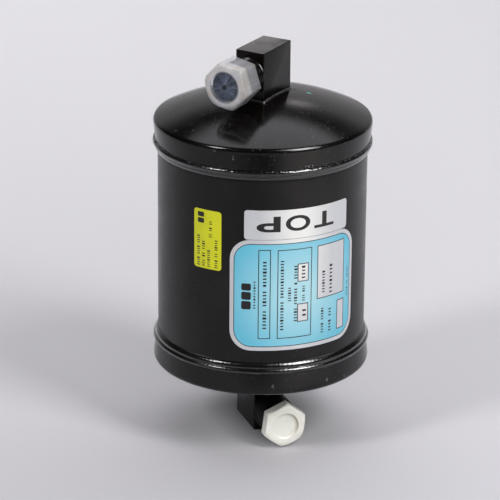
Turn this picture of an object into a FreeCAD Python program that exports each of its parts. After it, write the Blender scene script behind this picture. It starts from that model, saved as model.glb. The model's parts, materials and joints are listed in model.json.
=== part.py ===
import FreeCAD, Part
import math
import os
import re

import Sketcher

# Receiver drier for a vehicle air-conditioning loop.
# A drawn steel can with a domed cap welded on each end, a square port block on the crown of
# each dome, a threaded port fitting brazed into each block, and a plastic shipping cap on
# each fitting. Inside: a bed of drying beads between two felt pads and two pierced plates,
# held down by a spring, with a strainer over the outlet.
# Millimetres. The origin is the middle of the can on its axis, +Z runs up the can as it
# stands in the photograph, and -Y faces the viewer.

doc = FreeCAD.newDocument("receiver_drier")

# Driving sizes: name, value in mm or degrees, what it is
SIZES = [
    ("shell_diameter", 101.6, "outside of the can, a 4 inch shell"),
    ("shell_wall", 2.0, "sheet of the can"),
    ("shell_lap", 6.8, "how far the can runs into a cap past its lip"),
    ("neck_depth", 0.45, "how far the can's end is drawn in to enter the cap"),
    ("neck_ramp", 0.8, "length of the slope down to the neck"),
    ("neck_gap", 0.2, "from the foot of that slope to the cap's lip"),
    ("seam_spacing", 92.0, "bare can between the inner toes of the two seam welds"),
    ("lip_setback", 3.4, "from the weld's inner toe to the lip of the cap"),
    ("lap_clearance", 0.05, "cap lip over can neck, per side"),
    ("cap_sheet", 1.5, "sheet of the end caps"),
    ("skirt_length", 10.8, "lip to the centre of the rim corner"),
    ("skirt_flare", 1.05, "how far the skirt widens from lip to rim, per side"),
    ("rim_radius", 2.5, "outer corner between skirt and dome"),
    ("dome_rise", 13.8, "crown above the centre of the rim corner"),
    ("seam_width", 5.8, "seam weld from toe to toe"),
    ("seam_run", 2.75, "width of its first run, on the can"),
    ("seam_step", 1.55, "outer edge of that run above the can"),
    ("seam_run_bend", 37.0, "half the turn of the first run's face, degrees"),
    ("seam_cover_bend", 68.0, "half the turn of the second run's face, over the lip"),
    ("weld_gap", 0.05, "root gap left round every weld"),
    ("block_width", 15.4, "port block across its fitting"),
    ("block_depth", 26.6, "port block along its fitting"),
    ("block_height", 23.5, "end of a port block above the crown"),
    ("block_edge", 0.5, "broken edges of a port block"),
    ("block_weld", 0.9, "leg of the fillet weld round a block"),
    ("block_seat", 0.1, "gap between a block's curved foot and the dome"),
    ("port_height", 12.0, "fitting's axis above the crown"),
    ("passage_bore", 9.0, "flow passage through block and dome"),
    ("upper_angle", -29.1, "upper fitting's direction, degrees about +Z from -Y"),
    ("lower_angle", 19.5, "lower fitting's direction, degrees about +Z from -Y"),
    ("spigot_diameter", 12.0, "tail of a fitting inside its block"),
    ("spigot_depth", 5.0, "length of that tail"),
    ("spigot_clearance", 0.05, "tail in its socket, per side"),
    ("root_diameter", 14.8, "neck of a fitting at the block's face"),
    ("root_length", 1.2, "length of that neck"),
    ("shoulder_ramp", 1.8, "slope from the neck up to the thread"),
    ("thread_diameter", 19.05, "3/4-16 thread, over its crests"),
    ("thread_length", 15.2, "threaded part, with the lead on its end"),
    ("thread_chamfer", 1.0, "lead on the thread's end"),
    ("groove_width", 2.2, "seal groove at the foot of the nose"),
    ("groove_depth", 1.0, "depth of that groove"),
    ("nose_diameter", 14.4, "plain nose past the thread"),
    ("nose_length", 2.2, "plain nose past the groove"),
    ("nose_chamfer", 0.5, "broken edge of the nose"),
    ("port_bore", 10.2, "bore in the open end of a fitting"),
    ("port_bore_start", 4.0, "floor of that bore from the block's face"),
    ("braze_leg", 0.65, "braze ring between fitting and block"),
    ("clear_flats", 20.6, "translucent cap across its flats"),
    ("clear_grip", 8.9, "how far it reaches down the thread"),
    ("clear_angle", -11.7, "one of its corners, degrees from level"),
    ("clear_wall", 1.45, "its end wall"),
    ("white_flats", 19.8, "white cap across its flats"),
    ("white_gap", 0.4, "its open end past the thread"),
    ("white_angle", 22.2, "one of its corners, degrees from level"),
    ("white_wall", 1.8, "its end wall"),
    ("white_recess_diameter", 13.4, "round dished recess in its end"),
    ("white_recess_depth", 1.1, "depth of that recess and radius of its wall"),
    ("cap_crown", 3.4, "radius of the turned rounding on both caps' closed end"),
    ("cap_crown_start", 1.6, "how far inside the flats it starts"),
    ("cap_crown_end", 18.0, "where it stops, degrees from upright"),
    ("cap_corner", 0.4, "small roundings of both plastic caps"),
    ("cap_clearance", 0.12, "plastic caps over the fitting, per side"),
    ("cap_end_gap", 0.12, "nose to the end wall of a plastic cap"),
    ("plate_sheet", 1.2, "sheet of the pierced plates"),
    ("plate_fit", 0.15, "pierced plates inside the can, per side"),
    ("plate_corner", 1.0, "outer corner of the pierced plates"),
    ("plate_hole", 5.2, "holes in the plates"),
    ("plate_pitch", 15.0, "ring to ring spacing of those holes"),
    ("plate_setback", 2.0, "face of the inlet plate past the seam's toe"),
    ("guide_length", 7.0, "turned edge of the spring plate"),
    ("pad_thickness", 8.0, "felt pads"),
    ("pad_clearance", 0.3, "felt pads and beads inside the can, per side"),
    ("bed_height", 27.0, "drying beads, 12 cubic inches"),
    ("spring_diameter", 44.0, "spring, middle of its wire"),
    ("spring_wire", 2.6, "wire of the spring"),
    ("spring_turns", 7.0, "turns of the spring"),
    ("seat_gap", 0.1, "inner pieces against what carries them"),
    ("screen_diameter", 18.0, "outlet strainer cup"),
    ("screen_depth", 16.0, "length of that cup"),
    ("screen_flange", 28.0, "its flange against the dome"),
    ("screen_sheet", 0.8, "sheet of the strainer"),
    ("screen_slot", 2.4, "width of its slots"),
    ("label_sheet", 0.2, "labels"),
    ("label_gap", 0.05, "glue under a label"),
    ("data_left_angle", -17.1, "data label's edges, degrees round the can from -Y"),
    ("data_right_angle", 58.0, ""),
    ("data_bottom", -39.7, "and their heights"),
    ("data_top", 16.6, ""),
    ("data_corner", 10.0, "its corner radius"),
    ("top_left_angle", -9.4, "orientation label"),
    ("top_right_angle", 51.9, ""),
    ("top_bottom", 16.8, ""),
    ("top_top", 31.5, ""),
    ("top_corner", 1.5, ""),
    ("test_left_angle", -38.9, "leak test label"),
    ("test_right_angle", -22.0, ""),
    ("test_bottom", -0.6, ""),
    ("test_top", 29.0, ""),
    ("test_corner", 1.5, ""),
]

sheet = doc.addObject("Spreadsheet::Sheet", "sizes")
for row, (alias, value, note) in enumerate(SIZES, start=1):
    sheet.set(f"A{row}", alias)
    sheet.set(f"B{row}", str(value))
    sheet.set(f"C{row}", note)
    sheet.setAlias(f"B{row}", alias)
doc.recompute()
ALIASES = {alias for alias, value, note in SIZES}

# Places worked out from the driving sizes, as text for the expressions below
SHELL_R = "(shell_diameter / 2)"
NECK_R = "(shell_diameter / 2 - neck_depth)"
LIP_R = f"({NECK_R} + lap_clearance + cap_sheet)"
SEAM_Z = "(seam_spacing / 2)"
LIP_Z = f"({SEAM_Z} + lip_setback)"
RIM_R = f"({LIP_R} + skirt_flare)"
RIM_Z = f"({LIP_Z} + skirt_length)"
CORNER_R = f"({RIM_R} - rim_radius)"
CROWN_Z = f"({RIM_Z} + dome_rise)"
# The dome is a part of a sphere that runs into the rim corner without a kink
DOME_R = f"(({CORNER_R}^2 + dome_rise^2 - rim_radius^2) / (2 * (dome_rise - rim_radius)))"
DOME_Z = f"({CROWN_Z} - {DOME_R})"
PORT_Z = f"({CROWN_Z} + port_height)"
PASSAGE_R = "(passage_bore / 2)"
PLATE_R = f"({NECK_R} - shell_wall - plate_fit)"
FLOOR_Z = f"({SEAM_Z} + plate_setback)"
PACK_TOP = f"(2 * pad_thickness + bed_height - {FLOOR_Z})"
SKIRT_SLOPE = "(skirt_flare / skirt_length)"
THREAD_START = "(root_length + shoulder_ramp)"
THREAD_END = f"({THREAD_START} + thread_length)"
FITTING_END = f"({THREAD_END} + groove_width + nose_length)"
CLEAR_START = f"({THREAD_END} - clear_grip)"
WHITE_START = f"({THREAD_END} + white_gap)"


def bound(expression):
    """The expression with every size named by its cell."""
    return re.sub(r"[a-z_]{3,}", lambda m: "sizes." + m.group() if m.group() in ALIASES
                  else m.group(), expression)


def value(expression):
    """What an expression comes to now."""
    return float(sheet.evalExpression(bound(expression)))


def dome_height(radius, inset="0"):
    """Height of the dome at a radius, on a surface that lies inset under its outside."""
    return f"({DOME_Z} + sqrt(({DOME_R} - {inset})^2 - ({radius})^2))"


def tangent_point(inset):
    """Where the rim corner runs into the dome, on a surface that lies inset."""
    share = f"(({DOME_R} - {inset}) / ({DOME_R} - rim_radius))"
    return f"({CORNER_R} * {share})", f"({DOME_Z} + ({RIM_Z} - {DOME_Z}) * {share})"


def new_body(name):
    body = doc.addObject("PartDesign::Body", name)
    body.Label = name
    return body


def new_sketch(body, name, role, offset=None):
    """A sketch on one of the body's own origin planes, moved along its normal by offset."""
    sketch = body.newObject("Sketcher::SketchObject", name)
    plane = [feature for feature in body.Origin.OriginFeatures if feature.Role == role][0]
    sketch.AttachmentSupport = [(plane, "")]
    sketch.MapMode = "FlatFace"
    if offset is not None:
        sketch.setExpression("AttachmentOffset.Base.z", bound(offset))
    return sketch


def pin_point(sketch, edge, end, x, y):
    """Holds one end of an edge at x, y by two distances from the origin."""
    for kind, axis, text in (("DistanceX", -2, x), ("DistanceY", -1, y)):
        if text == "0":
            sketch.addConstraint(Sketcher.Constraint("PointOnObject", edge, end, axis))
            continue
        index = sketch.addConstraint(Sketcher.Constraint(kind, -1, 1, edge, end, value(text)))
        sketch.setExpression(f"Constraints[{index}]", bound(text))


def arc_between(start, end, radius, left):
    """The short arc from start to end, with its centre on the left or the right of the way."""
    chord = end - start
    half = chord.Length / 2
    side = FreeCAD.Vector(-chord.y, chord.x, 0).normalize()
    side = side if left else side * -1
    centre = (start + end) / 2 + side * math.sqrt(max(radius ** 2 - half ** 2, 0))
    first, last = (start, end) if left else (end, start)
    angles = [math.atan2(p.y - centre.y, p.x - centre.x) for p in (first, last)]
    circle = Part.Circle(centre, FreeCAD.Vector(0, 0, 1), radius)
    return Part.ArcOfCircle(circle, angles[0], angles[1])


def outline(sketch, corners):
    """A closed outline. A corner is (x, y), or (x, y, radius, side) where an arc leaves it."""
    points = [FreeCAD.Vector(value(c[0]), value(c[1]), 0) for c in corners]
    count = len(corners)
    ends = []
    for i, corner in enumerate(corners):
        following = points[(i + 1) % count]
        if len(corner) == 2:
            edge = sketch.addGeometry(Part.LineSegment(points[i], following), False)
            ends.append((edge, 1, 2))
        else:
            left = corner[3] == "left"
            arc = arc_between(points[i], following, value(corner[2]), left)
            edge = sketch.addGeometry(arc, False)
            ends.append((edge, 1, 2) if left else (edge, 2, 1))
    for i, corner in enumerate(corners):
        before, edge = ends[i - 1], ends[i]
        sketch.addConstraint(
            Sketcher.Constraint("Coincident", before[0], before[2], edge[0], edge[1]))
        pin_point(sketch, edge[0], edge[1], corner[0], corner[1])
        if len(corner) > 2:
            radius = value(corner[2])
            index = sketch.addConstraint(Sketcher.Constraint("Radius", edge[0], radius))
            sketch.setExpression(f"Constraints[{index}]", bound(corner[2]))


def add_circle(sketch, x, y, diameter):
    centre = FreeCAD.Vector(value(x), value(y), 0)
    normal = FreeCAD.Vector(0, 0, 1)
    circle = sketch.addGeometry(Part.Circle(centre, normal, value(diameter) / 2), False)
    pin_point(sketch, circle, 3, x, y)
    index = sketch.addConstraint(Sketcher.Constraint("Diameter", circle, value(diameter)))
    sketch.setExpression(f"Constraints[{index}]", bound(diameter))


def turned(body, name, corners, kind="Revolution"):
    """A revolution or a groove about the body's Z axis, from an outline of radius and height."""
    sketch = new_sketch(body, name + "_outline", "XZ_Plane")
    outline(sketch, corners)
    doc.recompute()
    feature = body.newObject("PartDesign::" + kind, name)
    feature.Profile = sketch
    feature.ReferenceAxis = (sketch, ["V_Axis"])
    feature.Angle = 360
    doc.recompute()
    return feature


def padded(body, name, sketch, length, taper=None):
    pad = body.newObject("PartDesign::Pad", name)
    pad.Profile = sketch
    pad.setExpression("Length", bound(length))
    if taper is not None:
        pad.TaperAngle = taper
    doc.recompute()
    return pad


def pocketed(body, name, sketch, length):
    """A pocket along the sketch's normal; the body has to lose volume by it."""
    before = body.Shape.Volume
    pocket = body.newObject("PartDesign::Pocket", name)
    pocket.Profile = sketch
    pocket.Reversed = True
    pocket.setExpression("Length", bound(length))
    doc.recompute()
    if not pocket.Shape.Volume < before:
        raise RuntimeError(f"{body.Label}: {name} cuts nothing")
    return pocket


def dressed(body, name, kind, base, edges, size):
    """A fillet or chamfer on the named edges of the feature base."""
    feature = body.newObject("PartDesign::" + kind, name)
    feature.Base = (base, edges)
    feature.setExpression("Radius" if kind == "Fillet" else "Size", bound(size))
    doc.recompute()
    return feature


def edges_where(feature, test):
    """Names of the feature's edges whose bounding box passes the test."""
    return [f"Edge{i}" for i, edge in enumerate(feature.Shape.Edges, start=1)
            if test(edge.BoundBox)]


def rectangle(x, y):
    """Corners of a rectangle centred on the origin, from its two half sides."""
    return [(f"-{x}", f"-{y}"), (x, f"-{y}"), (x, y), (f"-{x}", y)]


# Both ends of the drier are built alike, in a frame of their own: +Z out along the can,
# the fitting's axis along -Y. The lower end is that frame turned over and round.
ENDS = {
    "upper": "placement(vector(0; 0; 0); rotation(vector(0; 0; 1); upper_angle))",
    "lower": "placement(vector(0; 0; 0); rotation(vector(0; 0; 1); lower_angle)"
             " * rotation(vector(0; 1; 0); 180))",
}
# A fitting and its plastic cap are turned about their own Z, which leaves the block's face
FITTING = (f"placement(vector(0; -block_depth / 2; {PORT_Z});"
           " rotation(vector(1; 0; 0); 90))")


def place(body, end, on_fitting=False):
    text = ENDS[end] + (" * " + FITTING if on_fitting else "")
    body.setExpression("Placement", bound(text))
    doc.recompute()


def cut_under_dome(body, gap, reach):
    """Takes away what lies under the dome's outside, raised by gap, out to reach."""
    top = f"({DOME_R} + {gap})"
    turned(body, "dome_cut", [
        ("0", "-block_depth"),
        (reach, "-block_depth"),
        (reach, f"{DOME_Z} + sqrt({top}^2 - {reach}^2)", top, "left"),
        ("0", f"{DOME_Z} + {top}"),
    ], "Groove")


def make_shell():
    """The can: a tube whose ends are drawn in a little to enter the caps."""
    end = f"({LIP_Z} + shell_lap)"
    foot = f"({LIP_Z} - neck_gap)"
    head = f"({LIP_Z} - neck_gap - neck_ramp)"
    outside = [(NECK_R, f"-{end}"), (NECK_R, f"-{foot}"), (SHELL_R, f"-{head}"),
               (SHELL_R, head), (NECK_R, foot), (NECK_R, end)]
    inside = [(f"{r} - shell_wall", z) for r, z in reversed(outside)]
    body = new_body("shell")
    turned(body, "tube", outside + inside)


def make_end_cap(end):
    """A drawn cap: flared skirt, rim corner and shallow dome with a hole in its crown."""
    body = new_body(f"{end}_end_cap")
    outer_r, outer_z = tangent_point("0")
    inner_r, inner_z = tangent_point("cap_sheet")
    turned(body, "drawn_cap", [
        (f"{LIP_R} - cap_sheet", LIP_Z),
        (LIP_R, LIP_Z),
        (RIM_R, RIM_Z, "rim_radius", "left"),
        (outer_r, outer_z, DOME_R, "left"),
        (PASSAGE_R, dome_height(PASSAGE_R)),
        (PASSAGE_R, dome_height(PASSAGE_R, "cap_sheet"), f"{DOME_R} - cap_sheet", "right"),
        (inner_r, inner_z, "rim_radius - cap_sheet", "right"),
        (f"{RIM_R} - cap_sheet", RIM_Z),
    ])
    place(body, end)


def make_seam_weld(end):
    """The round seam weld: a first run on the can, then a run over the cap's lip."""
    body = new_body(f"{end}_seam_weld")
    start_r = f"({SHELL_R} + weld_gap)"
    step_r = f"({start_r} + seam_step)"
    step_z = f"({SEAM_Z} + seam_run)"
    toe_z = f"({SEAM_Z} + seam_width)"
    toe_r = f"({LIP_R} + ({toe_z} - {LIP_Z}) * {SKIRT_SLOPE} + weld_gap)"
    run_radius = "(sqrt(seam_step^2 + seam_run^2) / (2 * sin(seam_run_bend)))"
    cover = f"sqrt(({toe_r} - {step_r})^2 + (seam_width - seam_run)^2)"
    cover_radius = f"({cover} / (2 * sin(seam_cover_bend)))"
    turned(body, "bead", [
        (start_r, SEAM_Z, run_radius, "left"),
        (step_r, step_z, cover_radius, "left"),
        (toe_r, toe_z),
        (f"{LIP_R} + weld_gap", f"{LIP_Z} - weld_gap"),
        (start_r, f"{LIP_Z} - weld_gap"),
    ])
    place(body, end)


def make_port_block(end):
    """A square bar cut to the dome at its foot, with an L-shaped passage and a socket."""
    body = new_body(f"{end}_port_block")
    section = new_sketch(body, "section", "XY_Plane")
    outline(section, rectangle("block_width / 2", "block_depth / 2"))
    bar = padded(body, "bar", section, f"{CROWN_Z} + block_height")
    edges = edges_where(bar, lambda box: box.ZMax > value("block_edge"))
    dressed(body, "broken_edges", "Chamfer", bar, edges, "block_edge")
    cut_under_dome(body, "block_seat", "block_depth")
    upright = new_sketch(body, "upright_outline", "XY_Plane")
    add_circle(upright, "0", "0", "passage_bore")
    pocketed(body, "upright", upright, PORT_Z)
    cross = new_sketch(body, "cross_outline", "XZ_Plane")
    add_circle(cross, "0", PORT_Z, "passage_bore")
    pocketed(body, "cross", cross, "block_depth / 2")
    socket = new_sketch(body, "socket_outline", "XZ_Plane", "block_depth / 2 - spigot_depth")
    add_circle(socket, "0", PORT_Z, "spigot_diameter + 2 * spigot_clearance")
    pocketed(body, "socket", socket, "spigot_depth")
    place(body, end)


def make_block_weld(end):
    """The fillet weld round a block's foot, on the dome."""
    body = new_body(f"{end}_block_weld")
    fall = f"({CROWN_Z} - {dome_height('block_depth / 2')} + block_weld)"
    skirt = new_sketch(body, "skirt_outline", "XY_Plane", f"{CROWN_Z} - {fall}")
    spread = f"(block_weld + {fall})"
    outline(skirt, rectangle(f"(block_width / 2 + {spread})", f"(block_depth / 2 + {spread})"))
    bead = padded(body, "bead", skirt, f"{fall} + block_weld", taper=-45)
    rise = value("block_weld") / 2
    sloped = edges_where(bead, lambda box: min(box.XLength, box.YLength, box.ZLength) > rise)
    dressed(body, "round_corners", "Fillet", bead, sloped, "block_weld")
    window = new_sketch(body, "window_outline", "XY_Plane")
    outline(window, rectangle("(block_width / 2 + weld_gap)", "(block_depth / 2 + weld_gap)"))
    pocketed(body, "window", window, f"{CROWN_Z} + 2 * block_weld")
    cut_under_dome(body, "weld_gap", "block_depth")
    place(body, end)


def make_port_fitting(end):
    """A turned fitting: tail in the block, neck, threaded part, seal groove, plain nose."""
    body = new_body(f"{end}_port_fitting")
    neck = "root_diameter / 2"
    crest = "thread_diameter / 2"
    nose = "nose_diameter / 2"
    turned(body, "fitting", [
        (PASSAGE_R, "-spigot_depth"),
        ("spigot_diameter / 2", "-spigot_depth"),
        ("spigot_diameter / 2", "0"),
        (neck, "0"),
        (neck, "root_length"),
        (crest, THREAD_START),
        (crest, f"{THREAD_END} - thread_chamfer"),
        (f"{crest} - thread_chamfer", THREAD_END),
        (f"{nose} - groove_depth", THREAD_END),
        (f"{nose} - groove_depth", f"{THREAD_END} + groove_width"),
        (nose, f"{THREAD_END} + groove_width"),
        (nose, f"{FITTING_END} - nose_chamfer"),
        (f"{nose} - nose_chamfer", FITTING_END),
        ("port_bore / 2", FITTING_END),
        ("port_bore / 2", "port_bore_start"),
        (PASSAGE_R, "port_bore_start"),
    ])
    place(body, end, on_fitting=True)


def make_braze_ring(end):
    """The ring of braze in the corner between a fitting's neck and its block."""
    body = new_body(f"{end}_braze_ring")
    inner = "root_diameter / 2 + weld_gap"
    turned(body, "ring", [
        (inner, "weld_gap"),
        (f"{inner} + braze_leg", "weld_gap", "braze_leg", "right"),
        (inner, "weld_gap + braze_leg"),
    ])
    place(body, end, on_fitting=True)


def hexagon(flats, turn):
    """Corners of a hexagon, the first one turned up from level."""
    angles = [f"({turn} + {60 * k})" for k in range(6)]
    return [(f"{flats} / sqrt(3) * cos({a})", f"{flats} / sqrt(3) * sin({a})") for a in angles]


def make_plastic_cap(end, name, kind, start, bore):
    """A moulded hexagonal cap: prism crowned like a nut, hollowed from its open end."""
    body = new_body(name)
    finish = f"({FITTING_END} + cap_end_gap + {kind}_wall)"
    flats = new_sketch(body, "hexagon", "XY_Plane", start)
    outline(flats, hexagon(f"{kind}_flats", f"{kind}_angle"))
    prism = padded(body, "prism", flats, f"{finish} - {start}")
    edges = edges_where(prism, lambda box: box.ZLength > value("cap_crown"))
    dressed(body, "round_corners", "Fillet", prism, edges, "cap_corner")
    face_r = f"({kind}_flats / 2 - cap_crown_start)"
    crown_r = f"({face_r} + cap_crown * cos(cap_crown_end))"
    turned(body, "crown", [
        (crown_r, f"{finish} - cap_crown * (1 - sin(cap_crown_end))", "cap_crown", "left"),
        (face_r, finish),
        (face_r, f"{finish} + cap_crown"),
        (crown_r, f"{finish} + cap_crown"),
    ], "Groove")
    turned(body, "hollow", bore, "Groove")
    place(body, end, on_fitting=True)
    return body, finish


def make_clear_cap():
    """The translucent cap goes over the thread and the nose."""
    wide = "(thread_diameter / 2 + cap_clearance)"
    slim = "(nose_diameter / 2 + cap_clearance)"
    step = f"({THREAD_END} + cap_end_gap)"
    floor = f"({FITTING_END} + cap_end_gap)"
    lead = "cap_corner"
    make_plastic_cap("upper", "clear_shipping_cap", "clear", CLEAR_START, [
        ("0", f"{CLEAR_START} - cap_crown"),
        (f"{wide} + {lead}", f"{CLEAR_START} - cap_crown"),
        (f"{wide} + {lead}", CLEAR_START),
        (wide, f"{CLEAR_START} + {lead}"),
        (wide, step),
        (slim, step),
        (slim, floor),
        ("0", floor),
    ])


def make_white_cap():
    """The white cap is short and goes over the nose only."""
    slim = "(nose_diameter / 2 + cap_clearance)"
    floor = f"({FITTING_END} + cap_end_gap)"
    body, finish = make_plastic_cap("lower", "white_shipping_cap", "white", WHITE_START, [
        ("0", f"{WHITE_START} - cap_crown"),
        (slim, f"{WHITE_START} - cap_crown"),
        (slim, floor),
        ("0", floor),
    ])
    radius = "white_recess_diameter / 2"
    depth = "white_recess_depth"
    turned(body, "recess", [
        ("0", f"{finish} - {depth}"),
        (f"{radius} - {depth}", f"{finish} - {depth}", depth, "left"),
        (radius, finish),
        (radius, f"{finish} + {depth}"),
        ("0", f"{finish} + {depth}"),
    ], "Groove")


def pierce(body, thickness_top):
    """One middle hole and two rings of holes through a plate."""
    for ring, count in ((0, 1), (1, 6), (2, 12)):
        name = f"holes_{ring}"
        sketch = new_sketch(body, name + "_outline", "XY_Plane", f"{thickness_top} - 3 * plate_sheet")
        add_circle(sketch, f"{ring} * plate_pitch" if ring else "0", "0", "plate_hole")
        pocket = pocketed(body, name, sketch, "5 * plate_sheet")
        if ring:
            spread = body.newObject("PartDesign::PolarPattern", f"ring_{ring}")
            spread.Originals = [pocket]
            spread.Axis = (sketch, ["N_Axis"])
            spread.Angle = 360
            spread.Occurrences = count
            body.Tip = spread
            doc.recompute()


def make_inlet_plate():
    """Pierced plate whose turned edge stands on the inside of the lower dome."""
    body = new_body("inlet_plate")
    seat = f"({dome_height(PLATE_R, 'cap_sheet')} - seat_gap)"
    top = f"({FLOOR_Z} + plate_sheet)"
    turned(body, "cup", [
        ("0", FLOOR_Z),
        (f"{PLATE_R} - plate_corner", FLOOR_Z, "plate_corner", "left"),
        (PLATE_R, f"{FLOOR_Z} + plate_corner"),
        (PLATE_R, seat),
        (f"{PLATE_R} - plate_sheet", seat),
        (f"{PLATE_R} - plate_sheet", top),
        ("0", top),
    ])
    pierce(body, top)
    place(body, "lower")


def make_spring_plate():
    """Pierced plate on top of the bed; its turned edge guides it along the can."""
    body = new_body("spring_plate")
    top = f"({PACK_TOP} + plate_sheet)"
    rim = f"({PACK_TOP} + guide_length)"
    turned(body, "cup", [
        ("0", PACK_TOP),
        (f"{PLATE_R} - plate_corner", PACK_TOP, "plate_corner", "left"),
        (PLATE_R, f"{PACK_TOP} + plate_corner"),
        (PLATE_R, rim),
        (f"{PLATE_R} - plate_sheet", rim),
        (f"{PLATE_R} - plate_sheet", top),
        ("0", top),
    ])
    pierce(body, top)


def make_disc(name, low, height):
    """A felt pad or the bed of beads: a plain disc that fills the can."""
    body = new_body(name)
    sketch = new_sketch(body, "disc_outline", "XY_Plane", low)
    add_circle(sketch, "0", "0", f"2 * ({PLATE_R} + plate_fit - pad_clearance)")
    padded(body, "disc", sketch, height)


def make_spring():
    """Round wire wound from the spring plate up to the inside of the upper dome."""
    body = new_body("bed_spring")
    wire = "spring_wire / 2"
    foot = f"({PACK_TOP} + plate_sheet + {wire} + seat_gap)"
    outer = f"spring_diameter / 2 + {wire}"
    head = f"({dome_height(outer, 'cap_sheet')} - {wire} - 2 * seat_gap)"
    section = new_sketch(body, "wire_outline", "XZ_Plane")
    add_circle(section, "spring_diameter / 2", foot, "spring_wire")
    doc.recompute()
    helix = body.newObject("PartDesign::AdditiveHelix", "coil")
    helix.Profile = section
    helix.ReferenceAxis = (section, ["V_Axis"])
    helix.Mode = "height-turns-angle"
    helix.setExpression("Height", bound(f"{head} - {foot}"))
    helix.setExpression("Turns", bound("spring_turns"))
    doc.recompute()


def make_outlet_screen():
    """Strainer cup hung from the inside of the upper dome round its hole."""
    body = new_body("outlet_screen")
    flange = "screen_flange / 2"
    cup = "screen_diameter / 2"
    top = f"({dome_height(flange, 'cap_sheet')} - seat_gap)"
    floor = f"({top} - screen_depth)"
    turned(body, "cup", [
        ("0", floor),
        (cup, floor),
        (cup, f"{top} - screen_sheet"),
        (flange, f"{top} - screen_sheet"),
        (flange, top),
        (f"{cup} - screen_sheet", top),
        (f"{cup} - screen_sheet", f"{floor} + screen_sheet"),
        ("0", f"{floor} + screen_sheet"),
    ])
    slot = new_sketch(body, "slot_outline", "XZ_Plane")
    low = f"({floor} + 3 * screen_sheet)"
    high = f"({top} - 4 * screen_sheet)"
    half = "screen_slot / 2"
    outline(slot, [(f"-{half}", low), (half, low), (half, high), (f"-{half}", high)])
    cut = pocketed(body, "slot", slot, cup)
    ring = body.newObject("PartDesign::PolarPattern", "slots")
    ring.Originals = [cut]
    ring.Axis = (slot, ["V_Axis"])
    ring.Angle = 360
    ring.Occurrences = 8
    body.Tip = ring
    doc.recompute()
    place(body, "upper")


def make_label(name, kind):
    """A label bent round the can: a block with round corners, pared down to a thin sheet."""
    body = new_body(name)
    inner = f"({SHELL_R} + label_gap)"
    outer = f"({SHELL_R} + label_gap + label_sheet)"
    corner = f"{kind}_corner"
    first, last = f"{kind}_left_angle", f"{kind}_right_angle"
    low, high = f"{kind}_bottom", f"{kind}_top"
    near = f"({inner} - {corner})"
    far = f"({outer} + {corner})"
    sector = new_sketch(body, "sector", "XY_Plane", low)
    outline(sector, [
        (f"{near} * sin({first})", f"-{near} * cos({first})"),
        (f"{far} * sin({first})", f"-{far} * cos({first})", far, "left"),
        (f"{far} * sin({last})", f"-{far} * cos({last})"),
        (f"{near} * sin({last})", f"-{near} * cos({last})", near, "right"),
    ])
    block = padded(body, "block", sector, f"{high} - {low}")
    thick = value(far) - value(near) + 0.1
    corners = edges_where(block, lambda box: box.DiagonalLength < thick)
    dressed(body, "round_corners", "Fillet", block, corners, corner)
    for side, radii in (("back", ("0", inner)), ("front", (outer, f"({far} + label_gap)"))):
        turned(body, side, [
            (radii[0], f"{low} - label_gap"),
            (radii[1], f"{low} - label_gap"),
            (radii[1], f"{high} + label_gap"),
            (radii[0], f"{high} + label_gap"),
        ], "Groove")


make_shell()
for side in ENDS:
    make_end_cap(side)
    make_seam_weld(side)
    make_port_block(side)
    make_block_weld(side)
    make_port_fitting(side)
    make_braze_ring(side)
make_clear_cap()
make_white_cap()
make_inlet_plate()
make_disc("inlet_pad", f"-{FLOOR_Z}", "pad_thickness")
make_disc("drying_bed", f"pad_thickness - {FLOOR_Z}", "bed_height")
make_disc("outlet_pad", f"pad_thickness + bed_height - {FLOOR_Z}", "pad_thickness")
make_spring_plate()
make_spring()
make_outlet_screen()
make_label("data_label", "data")
make_label("orientation_label", "top")
make_label("test_label", "test")
doc.recompute()

# Every object has to be sound before anything is written
bodies = [item for item in doc.Objects if item.TypeId == "PartDesign::Body"]
for item in doc.Objects:
    if "Invalid" in item.State or "Error" in item.State:
        raise RuntimeError(f"{item.Label} ({item.Name}) failed: {item.State}")
for item in bodies:
    if item.Shape.isNull() or not item.Shape.isValid() or not item.Shape.Solids:
        raise RuntimeError(f"{item.Label} has no sound solid")

os.makedirs("parts", exist_ok=True)
for item in bodies:
    item.Shape.exportStep(f"parts/{item.Label}.step")
    print(f"{item.Label}: {len(item.Shape.Solids)} solid, {item.Shape.Volume / 1000:.2f} cm3")
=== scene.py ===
import json
import math

import bmesh
import bpy
import numpy as np
from mathutils import Matrix, Vector, noise


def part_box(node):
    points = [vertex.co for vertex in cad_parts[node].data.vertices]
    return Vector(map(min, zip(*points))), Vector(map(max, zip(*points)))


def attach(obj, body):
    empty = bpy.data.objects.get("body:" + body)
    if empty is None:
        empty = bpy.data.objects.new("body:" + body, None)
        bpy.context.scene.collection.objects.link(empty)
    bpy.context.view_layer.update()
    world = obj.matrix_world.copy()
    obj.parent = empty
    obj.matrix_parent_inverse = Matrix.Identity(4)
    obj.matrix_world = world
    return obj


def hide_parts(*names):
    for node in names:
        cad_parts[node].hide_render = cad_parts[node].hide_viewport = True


# The looks of a receiver drier: a black welded can with a port block on each domed end.
# Metres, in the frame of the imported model. +Z runs up the can, -Y faces the viewer.
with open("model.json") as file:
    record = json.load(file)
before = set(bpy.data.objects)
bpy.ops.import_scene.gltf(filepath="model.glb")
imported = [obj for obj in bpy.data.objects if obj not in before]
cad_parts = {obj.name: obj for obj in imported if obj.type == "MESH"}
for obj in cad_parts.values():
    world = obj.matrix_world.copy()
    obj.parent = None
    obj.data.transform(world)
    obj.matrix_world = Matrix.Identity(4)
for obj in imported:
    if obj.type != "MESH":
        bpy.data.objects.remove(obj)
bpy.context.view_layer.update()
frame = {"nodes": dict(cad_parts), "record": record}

MM = 0.001
SCENE = bpy.context.scene
RECORD = frame["record"]
MOUNTS = {mount["name"]: mount for mount in RECORD["mounts"]}

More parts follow.
